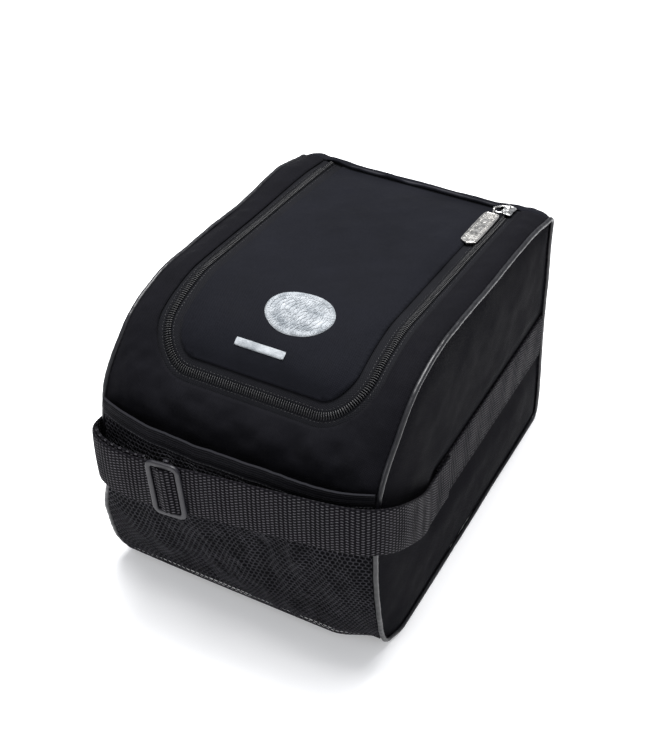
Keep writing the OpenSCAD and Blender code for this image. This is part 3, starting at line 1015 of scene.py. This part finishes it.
def bar_stitches():
    x = np.arange(BAR_X0 - 0.6, BAR_X1 + 0.8, 0.62)
    spots = np.stack([x, np.full(len(x), BAR_Y)], 1)
    lean = same([0, 1], len(x))
    ring = [(x, BAR_Y + up) for x, up in ((BAR_X0, -BAR_HALF), (BAR_X1, -BAR_HALF),
                                          (BAR_X1, BAR_HALF), (BAR_X0, BAR_HALF))]
    base = cloth_patch("bar", ring, lambda q: lid_point(q[:, 0], q[:, 1], 0.4)[0], 1.5)
    return [thicken(base, 0.6), satin_fill("bar", spots, lean, 5.9, 0.85, 0.55)]


for obj, node in ((join("oval_patch", [oval_base()] + oval_stitches()), "badge_patch"),
                  (join("satin_bar", bar_stitches()), "badge_bar")):
    dress(obj, SATIN, "lid", [node])


# ---- mesh pocket
POCKET_TOP, MOUTH_Z = 150.0, 130.0


def front_y(z):
    return np.interp(z, LOOP[_front, 1], LOOP[_front, 0])


def pocket_y(x, z):
    u = np.maximum(0, 1 - (np.abs(x) / (SEAM_X - 1)) ** 4)
    away = 0.75 * np.maximum(0, front_y(z) - front_y(MOUTH_Z)) * (z > MOUTH_Z)
    folds = (2.4 * soft_noise(x, z * 0.35, 61, 34) + 1.3 * soft_noise(x * 1.2, z * 0.5, 62, 17)
             ) * step_up(z, 8, 40) * (1 - 0.75 * step_up(z, 135, 150))
    return front_y(z) - 1.2 - u * (8.0 * np.sin(math.pi / 2 * np.minimum(1, z / 110)) + away
                                   + folds)


NET_PITCH, STRAND_R, NET_FOOT = 3.5, 0.4, 9.0


def net(name):
    """A net of six-sided holes, one pitch apart, laid over the pocket's shape."""
    p = NET_PITCH
    rise = p * 0.87
    verts, edges, index = [], [], {}

    def vert(x, z):
        key = (round(x * 20), round(z * 20))
        if key not in index:
            index[key] = len(verts)
            verts.append((x, z))
        return index[key]

    for j in range(int(143 / rise) + 1):
        for i in range(-30, 31):
            cx, cz = (i + 0.5 * (j % 2)) * p, NET_FOOT + j * rise
            ring = [(cx + p / 2 * dx, cz + rise * dz) for dx, dz in
                    ((0, -0.62), (1, -0.38), (1, 0.38), (0, 0.62), (-1, 0.38), (-1, -0.38))]
            if abs(cx) > SEAM_X - 1.5:
                continue
            ids = [vert(*q) for q in ring]
            edges += [tuple(sorted((ids[k], ids[(k + 1) % 6]))) for k in range(6)]
    flat = np.array(verts)
    flat[:, 0] = np.clip(flat[:, 0], -SEAM_X + 0.4, SEAM_X - 0.4)
    drape = np.stack([3.4 * soft_noise(flat[:, 0], flat[:, 1], 71, 85, 1),
                      3.8 * soft_noise(flat[:, 0], flat[:, 1], 72, 75, 1)], -1)
    free = (step_up(SEAM_X - np.abs(flat[:, 0]), 0, 14) * step_up(flat[:, 1], 9, 24)
            * (1 - step_up(flat[:, 1], 128, 146)))
    flat = flat + drape * free[:, None]
    pts = settle(np.stack([flat[:, 0], pocket_y(flat[:, 0], flat[:, 1]), flat[:, 1]], 1) * MM)
    mesh = bpy.data.meshes.new(name)
    mesh.from_pydata([tuple(q) for q in pts], sorted(set(edges)), [])
    return run_tree(add(name, mesh), STRANDS, strand_radius=STRAND_R * MM, finish=NET)


pocket_net = net("pocket_net")
dress(pocket_net, NET, "bag", ["mesh_pocket"])


ELASTIC_W, ELASTIC_T, ELASTIC_MID, ELASTIC_RIB = 15.5, 1.5, 7.4, 1.45


def elastic_pieces():
    """The pocket's elastic, which rises and narrows at its right end, and its stitches."""
    x = np.arange(-SEAM_X + 0.3, SEAM_X - 0.3, 2.5)
    end = step_up(x, 62, 98)
    narrow = 1 - 0.22 * end
    z = POCKET_TOP + ELASTIC_MID + 3.4 * end + 0.7 * np.sin(x / 19)
    y = pocket_y(x, z) - 0.6
    n = 62
    section = flat_band(ELASTIC_W, ELASTIC_T, n, 0.35)
    section[:n + 1, 1] += 0.16 * np.cos(2 * math.pi * section[:n + 1, 0] / ELASTIC_RIB)
    band = ribbon("pocket_elastic", np.stack([x, y, z], 1) * MM,
                  same([0, 0, 1], len(x)) * narrow[:, None], same([0, -1, 0], len(x)), section)
    row = np.stack([x, y - 1.15, z - 5.2 * narrow], 1) * MM
    return band, stitch_row("elastic_row", row, [0, -1, 0], GREY_THREAD, 2.4, 1.9, 0.5)


elastic, elastic_row = elastic_pieces()
dress(elastic, ELASTIC, "bag", ["pocket_binding"])
dress(elastic_row, GREY_THREAD, "bag")


# ---- webbing and handle
FIT = 0.1
WEB_X = BODY_W / 2 + PIPE_R + 0.2
LAP_X = SEAM_X + FIT + 1.5 * WEB_T + 0.15
GLIDE_X, GLIDE_LEAN = -38.0, math.radians(4)
RUN_Y, RUN_Z, RUN_OUT, RUN_RISE = -170.0, 130.0, 0.04, 0.12


RIB_PITCH, RIB_SWELL, BAND_STEP = 0.0028, 0.14, 0.75


def ribbed_band(name, path, outer, width=WEB_W, thick=WEB_T, bow=0.0, tilt=None):
    """Webbing with low ribs across its width, one every RIB_PITCH metres."""
    s = arc_lengths(path)
    rib = 1 + RIB_SWELL * np.cos(2 * math.pi * s / RIB_PITCH)
    side = same([0, 0, 1], len(path)) if tilt is None else tilt
    return ribbon(name, path, side, outer * rib[:, None], flat_band(width, thick, 16, bow))


def run(x):
    """A place on the handle's straight front run, where the tri-glide slides."""
    return (x, RUN_Y + RUN_OUT * (x - GLIDE_X), RUN_Z + RUN_RISE * (x - GLIDE_X))


HANDLE = smooth_path([
    (LAP_X, WEB_Y + 16, WEB_Z), (LAP_X, WEB_Y, WEB_Z),
    (WEB_X + 0.2, WEB_Y - 14, WEB_Z + 2), (WEB_X + 5, -92, WEB_Z + 12),
    (WEB_X + 9, -120, WEB_Z + 32), (WEB_X + 7, -145, WEB_Z + 46),
    (98, -162, 145), run(74), run(50), run(-62), run(-66),
    (-88, -170, 127), (-104.5, -160.5, 126),
    (-WEB_X - 4, -140, 122), (-WEB_X - 3, -112, 112),
    (-WEB_X - 0.2, WEB_Y - 14, WEB_Z + 3),
    (-LAP_X, WEB_Y, WEB_Z), (-LAP_X, WEB_Y + 16, WEB_Z)], 24)


hp = even(HANDLE, BAND_STEP, closed=False)
hd = tangents(hp)
hout = unit(np.stack([-hd[:, 1], hd[:, 0], np.zeros(len(hd))], 1))
strap = ribbed_band("handle_strap", hp * MM, hout, bow=0.5)
dress(strap, WEBBING, None, ["handle_webbing"])
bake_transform(strap)

back_run = np.where((hp[:, 0] < -55) & (hp[:, 1] < -159))[0]
bp = hp[back_run] - hout[back_run] * 2.2 + np.array([0, 0, 2.0])
backing = ribbed_band("handle_second_layer", bp * MM, hout[back_run], 39.0, 1.6)
dress(backing, WEBBING, "handle", ["handle_backing"])


def side_band(name, sign):
    y = np.arange(WEB_Y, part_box("side_webbing_right")[1].y / MM, BAND_STEP)
    x = sign * (SEAM_X + FIT + WEB_T / 2 + 0.05)
    path = np.stack([np.full(len(y), x), y, np.full(len(y), WEB_Z)], 1) * MM
    return ribbed_band(name, path, same([sign, 0, 0], len(y)))


def webbing_stitches(name, sign):
    """Bars of stitches that hold the handle's end, and a row along each edge of the webbing."""
    rows = []
    x = sign * (LAP_X + WEB_T / 2 + 0.12)
    for y in (-44.0, -46.2, -55.0):
        path = np.linspace((x, y, WEB_Z - 17.5), (x, y, WEB_Z + 17.5), 40) * MM
        rows.append(stitch_row(name, path, [sign, 0, 0], THREAD, 1.9, 2.3, 0.75))
    x = sign * (SEAM_X + FIT + WEB_T + 0.2)
    for z in (WEB_Z - 17.6, WEB_Z + 17.6):
        path = np.linspace((x, -40, z), (x, 143, z), 120) * MM
        rows.append(stitch_row(name, path, [sign, 0, 0], THREAD, 3.2, 2.6, 0.5))
    return join(name, rows)


for side, sign in BOTH:
    dress(side_band("side_band_" + side, sign), WEBBING, "bag",
          ["side_webbing_" + side])
    dress(webbing_stitches("webbing_stitches_" + side, sign), THREAD, "bag")


# ---- tri-glide
def rounded_box(w, h, r, n=8):
    pts = []
    for cx, cy, a0 in ((w / 2 - r, h / 2 - r, 0), (-w / 2 + r, h / 2 - r, 90),
                       (-w / 2 + r, -h / 2 + r, 180), (w / 2 - r, -h / 2 + r, 270)):
        for a in np.radians(np.linspace(a0, a0 + 90, n)):
            pts.append((cx + r * math.cos(a), cy + r * math.sin(a)))
    return np.array(pts)


def glide_frame():
    """The tri-glide's own frame: its middle, along the strap, across it, and out from the bag."""
    yaw = math.atan(RUN_OUT)
    flat = np.array([math.cos(yaw), math.sin(yaw), 0])
    along = flat * math.cos(GLIDE_LEAN) + np.array([0, 0, math.sin(GLIDE_LEAN)])
    out = np.array([math.sin(yaw), -math.cos(yaw), 0])
    return np.array(run(GLIDE_X)), along, np.cross(out, along), out


def glide_at(q):
    origin, along, across, out = glide_frame()
    q = np.asarray(q, float)
    return (origin + q[:, :1] * along + q[:, 1:2] * across + q[:, 2:3] * out) * MM


def glide_parts():
    """The frame, its middle bar over the strap, and the keeper bar under it."""
    _, along, across, out = glide_frame()
    w, h, bar, thick, gap = 26.0, WEB_W + 6.4, 3.9, 2.8, WEB_T / 2 + 0.35
    line = even(rounded_box(w - bar, h - bar, 4.2), 0.8)
    d = tangents(line, closed=True)
    path = glide_at(np.column_stack([line, np.full(len(line), gap + thick / 2)]))
    side = np.outer(d[:, 1], along) - np.outer(d[:, 0], across)
    frame_ring = ribbon("ring", path, side, same(out, len(line)),
                        rounded_box(bar, thick, 1.0, 5), closed=True)
    n = 40
    b = np.linspace(-h / 2 + 2, h / 2 - 2, n)

    def cross_bar(name, level, section):
        path = glide_at(np.column_stack([0 * b, b, np.full(n, level)]))
        return ribbon(name, path, same(along, n), same(out, n), section)

    centre = cross_bar("bar", gap + 1.3, rounded_box(4.6, 2.2, 0.9, 4))
    keeper = cross_bar("keeper", -gap - 1.2, rounded_box(4.0, 2.2, 0.8, 4))
    return join("tri_glide_frame", [frame_ring, centre, keeper])


def glide_loop():
    """The short bend of webbing that rises over the tri-glide's middle bar."""
    _, _, across, out = glide_frame()
    a = np.arange(-8.2, 8.21, 0.4)
    c = 1.75 + 3.2 * (0.5 + 0.5 * np.cos(np.pi * np.clip(np.abs(a) - 1.5, 0, None) / 6.7))
    path = glide_at(np.column_stack([a, 0 * a, c]))
    over = same(across, len(a))
    lift = unit(np.cross(over, tangents(path)))
    lift *= np.sign(lift @ out)[:, None]
    return ribbed_band("tri_glide_loop", path, lift, 37.5, 1.5, tilt=over)


dress(glide_parts(), ACETAL, "buckle", ["tri_glide"])
dress(glide_loop(), WEBBING, "buckle")


# ---- slider and pull
SLIDER_Y, RING_L, RING_Z, RING_YAW = 118.0, 12.0, 2.9, math.radians(-38)
TAG_W, TAG_L = 12.5, 50.0
LEAN = -math.atan(SLOPE)


def on_top(q):
    """Places of the slider's own frame, in mm, laid on the sloping top."""
    q = np.asarray(q, float)
    y = q[:, 1] * math.cos(LEAN) - q[:, 2] * math.sin(LEAN)
    z = q[:, 1] * math.sin(LEAN) + q[:, 2] * math.cos(LEAN)
    return np.column_stack([ZIP_HALF + q[:, 0], SLIDER_Y + y, top_z(SLIDER_Y) + z]) * MM


def plate(name, outline, z0, z1, bevel):
    """A plate with rounded edges, cut to an outline in the slider's own frame."""
    n = len(outline)
    lo = on_top(np.column_stack([outline, np.full(n, z0)]))
    hi = on_top(np.column_stack([outline, np.full(n, z1)]))
    faces = [tuple(range(n))[::-1], tuple(range(n, 2 * n))]
    faces += [(i, (i + 1) % n, n + (i + 1) % n, n + i) for i in range(n)]
    obj = outward(new_piece(name, np.vstack([lo, hi]), faces))
    m = obj.modifiers.new("rounding", "BEVEL")
    m.width, m.segments, m.limit_method, m.angle_limit = bevel * MM, 3, "ANGLE", math.radians(50)
    return apply_all(obj)


def wire(name, pts, radius, n=14):
    """A closed round wire along points of the slider's own frame."""
    path = on_top(pts)
    d = tangents(path, closed=True)
    side = np.cross(d, same([0, 0, 1], len(path)))
    weak = np.linalg.norm(side, axis=1) < 0.2
    side[weak] = np.cross(d[weak], [1.0, 0, 0])
    side = unit(side)
    return ribbon(name, path, side, unit(np.cross(side, d)), circle(radius, n), closed=True)


def turned(pts, angle):
    """The same points, turned by an angle about the up axis."""
    c, s = math.cos(angle), math.sin(angle)
    p = np.asarray(pts, float)
    out = p.copy()
    out[:, 0], out[:, 1] = p[:, 0] * c - p[:, 1] * s, p[:, 0] * s + p[:, 1] * c
    return out


def slider_parts():
    """Two plates, the post between them, the arch that carries the ring, and a raised rim."""
    body = smooth_loop([(-4.6, -5), (-3.6, -7.2), (3.6, -7.2), (4.6, -5), (3.5, 0), (4.6, 4.5),
                        (3.4, 7.2), (-3.4, 7.2), (-4.6, 4.5), (-3.5, 0)], 5)
    top = plate("top", body, 0.2, 1.6, 0.5)
    low = plate("low", body * [1, 0.84] - [0, 1.0], -4.8, -3.7, 0.4)
    post = plate("post", rounded_box(0.6, 2.8, 0.28, 4) + [0, 2.5], -4.9, 0.6, 0.1)
    a = np.radians(np.linspace(-4, 184, 34))
    arch = ribbon("arch", on_top(np.column_stack([0 * a, 3.4 * np.cos(a), 1.2 + 3.4 * np.sin(a)])),
                  same([1, 0, 0], 34),
                  on_top(np.column_stack([0 * a, np.cos(a), np.sin(a)])) / MM
                  - on_top(np.zeros((34, 3))) / MM, rounded_box(1.9, 1.2, 0.5, 4))
    rim = wire("rim", np.column_stack([rounded_box(6.0, 11.4, 2.2, 8), np.full(32, 1.6)]), 0.3)
    return join("slider_body", [top, low, post, arch, rim])


def ring_parts():
    half = 4.2
    leg = RING_L - 2 * half
    a = np.radians(np.linspace(0, 180, 26))
    pts = [(half * math.cos(t), -half + half * math.sin(t), RING_Z) for t in a]
    pts += [(-half * math.cos(t), -half - leg - half * math.sin(t), RING_Z) for t in a]
    line = even(turned(pts, RING_YAW), 0.5)
    return wire("pull_wire_ring", line, 0.6)


def tag_parts():
    """A plate with a wire border, an eye, a field of worn beads and three plain lozenges."""
    w, root, length = TAG_W / 2, 2.4, TAG_L
    outline = [(-w + 2, -root), (w - 2, -root), (w, -root - 2), (w, -length + 3),
               (w - 1.2, -length + 2.2), (w - 3.1, -length + 0.9), (1.2, -length + 0.2),
               (0, -length - 1.2), (-1.2, -length + 0.2), (-w + 3.1, -length + 0.9),
               (-w + 1.2, -length + 2.2), (-w, -length + 3), (-w, -root - 2)]
    place = np.array([RING_L * math.sin(RING_YAW), -RING_L * math.cos(RING_YAW)])
    edge = smooth_loop(outline, 4) + place
    slab = plate("slab", edge, 0.65, 2.05, 0.25)
    inset = np.array(outline) * [0.86, 1.0] * [1, 0.965] - [0, 0.95]
    inner = even(smooth_loop(inset, 4) + place, 0.7)
    border = wire("border", np.column_stack([inner, np.full(len(inner), 2.05)]), 0.42, n=10)
    a = np.radians(np.linspace(0, 360, 31))[:-1]
    eye = ribbon("eye", on_top(np.column_stack([0 * a + place[0], place[1] + 2.2 * np.cos(a),
                                                RING_Z + 2.2 * np.sin(a)])),
                 same([1, 0, 0], 30), np.column_stack([0 * a, np.cos(a), np.sin(a)]),
                 circle(0.55, 10), closed=True)
    parts = [slab, border, eye]
    field = [(x + (j % 2) * 0.45, y) for j, y in enumerate(np.arange(-45.2, -6.0, 0.8))
             for x in np.arange(-4.2, 4.0, 0.9)]
    field = np.array([q for q in field if not (abs(q[0]) < 2.6 and -40 < q[1] < -12)]) + place
    p = on_top(np.column_stack([field, np.full(len(field), 2.08)]))
    up = same(on_top([[0, 0, 1]])[0] - on_top([[0, 0, 0]])[0], len(p))
    parts.append(parts_on("beads", p, same([1, 0, 0], len(p)), up, (0.62, 0.62, 0.5), TAG))
    for y in (-16.5, -26, -35.5):
        lozenge = smooth_loop([(-2.2, 0), (0, -4.2), (2.2, 0), (0, 4.2)], 6) + place + [0, y]
        parts.append(plate("lozenge", lozenge, 1.9, 2.4, 0.15))
    return join("pull_plate", parts)


dress(slider_parts(), NICKEL, "slider", ["zip_slider"])
dress(ring_parts(), NICKEL, "ring", ["pull_ring"])
dress(tag_parts(), TAG, "tag", ["pull_tag"])


# ---- base board, seen from inside
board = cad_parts["base_board"]
board.data.materials.clear()
board.data.materials.append(BOARD)

# ---- floor, lights and camera
floor_mat = Finish("pale_floor", Roughness=0.9, Emission_Color=(1, 1, 1, 1),
                   Emission_Strength=0.22)
cloud = floor_mat.noise(floor_mat.axes()[0], 0.4, 2)
floor_mat.done(floor_mat.tint(cloud, (0.86, 0.86, 0.87), (0.90, 0.90, 0.905)))
floor = new_piece("floor", np.array([(-3, -3, 0), (3, -3, 0), (3, 3, 0), (-3, 3, 0)]),
                  [(0, 1, 2, 3)], smooth=False)
floor.data.materials.append(floor_mat.mat)

world = bpy.data.worlds.new("studio")
bpy.context.scene.world = world
world.use_nodes = True
sky = world.node_tree.nodes["Background"].inputs
sky["Color"].default_value, sky["Strength"].default_value = (0.93, 0.95, 1.0, 1), 0.5


def softbox(name, place, aim, size, power):
    """A rectangular lamp of a size in metres and a power in watts, turned toward aim."""
    light = bpy.data.lights.new(name, "AREA")
    light.shape, light.size, light.size_y = "RECTANGLE", size[0], size[1]
    light.energy = power
    obj = add(name, light)
    obj.location = place
    obj.rotation_euler = (Vector(aim) - Vector(place)).to_track_quat("-Z", "Y").to_euler()


softbox("top_box", (-0.1, 0.25, 1.5), (0, 0, 0.1), (1.0, 1.0), 46)
softbox("right_box", (1.3, -0.5, 0.8), (0, 0, 0.12), (0.5, 0.9), 2.0)
softbox("front_box", (-0.6, -1.6, 0.9), (0, 0, 0.12), (0.9, 0.6), 5)

VIEW_AZ, VIEW_EL, VIEW_ROLL = math.radians(28.8), math.radians(39.8), math.radians(-0.9)
UNIT = 1.025                    # the view was measured on a bag 200 wide
VIEW_AWAY, VIEW_SIDE, VIEW_UP, VIEW_Y = 1020.2, -5.5, 95.0, -18.1     # the lens's place, in mm
back_dir = Vector((math.sin(VIEW_AZ) * math.cos(VIEW_EL), -math.cos(VIEW_AZ) * math.cos(VIEW_EL),
                   math.sin(VIEW_EL)))
right_dir = Vector((math.cos(VIEW_AZ), math.sin(VIEW_AZ), 0))
up_dir = back_dir.cross(right_dir)
right_rolled = right_dir * math.cos(VIEW_ROLL) + up_dir * math.sin(VIEW_ROLL)
up_rolled = up_dir * math.cos(VIEW_ROLL) - right_dir * math.sin(VIEW_ROLL)
eye = ((back_dir * VIEW_AWAY + right_rolled * VIEW_SIDE + up_rolled * VIEW_UP) * UNIT
       + Vector((0, VIEW_Y, 0)))
camera = add("camera", bpy.data.cameras.new("camera"))
lens = camera.data
lens.lens, lens.sensor_width, lens.sensor_height, lens.sensor_fit = 64.84, 36.0, 36.0, "VERTICAL"
turn = np.eye(4)
for k, axis in enumerate((right_rolled, up_rolled, back_dir)):
    turn[:3, k] = axis
turn[:3, 3] = eye * MM
camera.matrix_world = Matrix(turn.tolist())
bpy.context.scene.camera = camera
bpy.context.scene.view_settings.view_transform = "Standard"
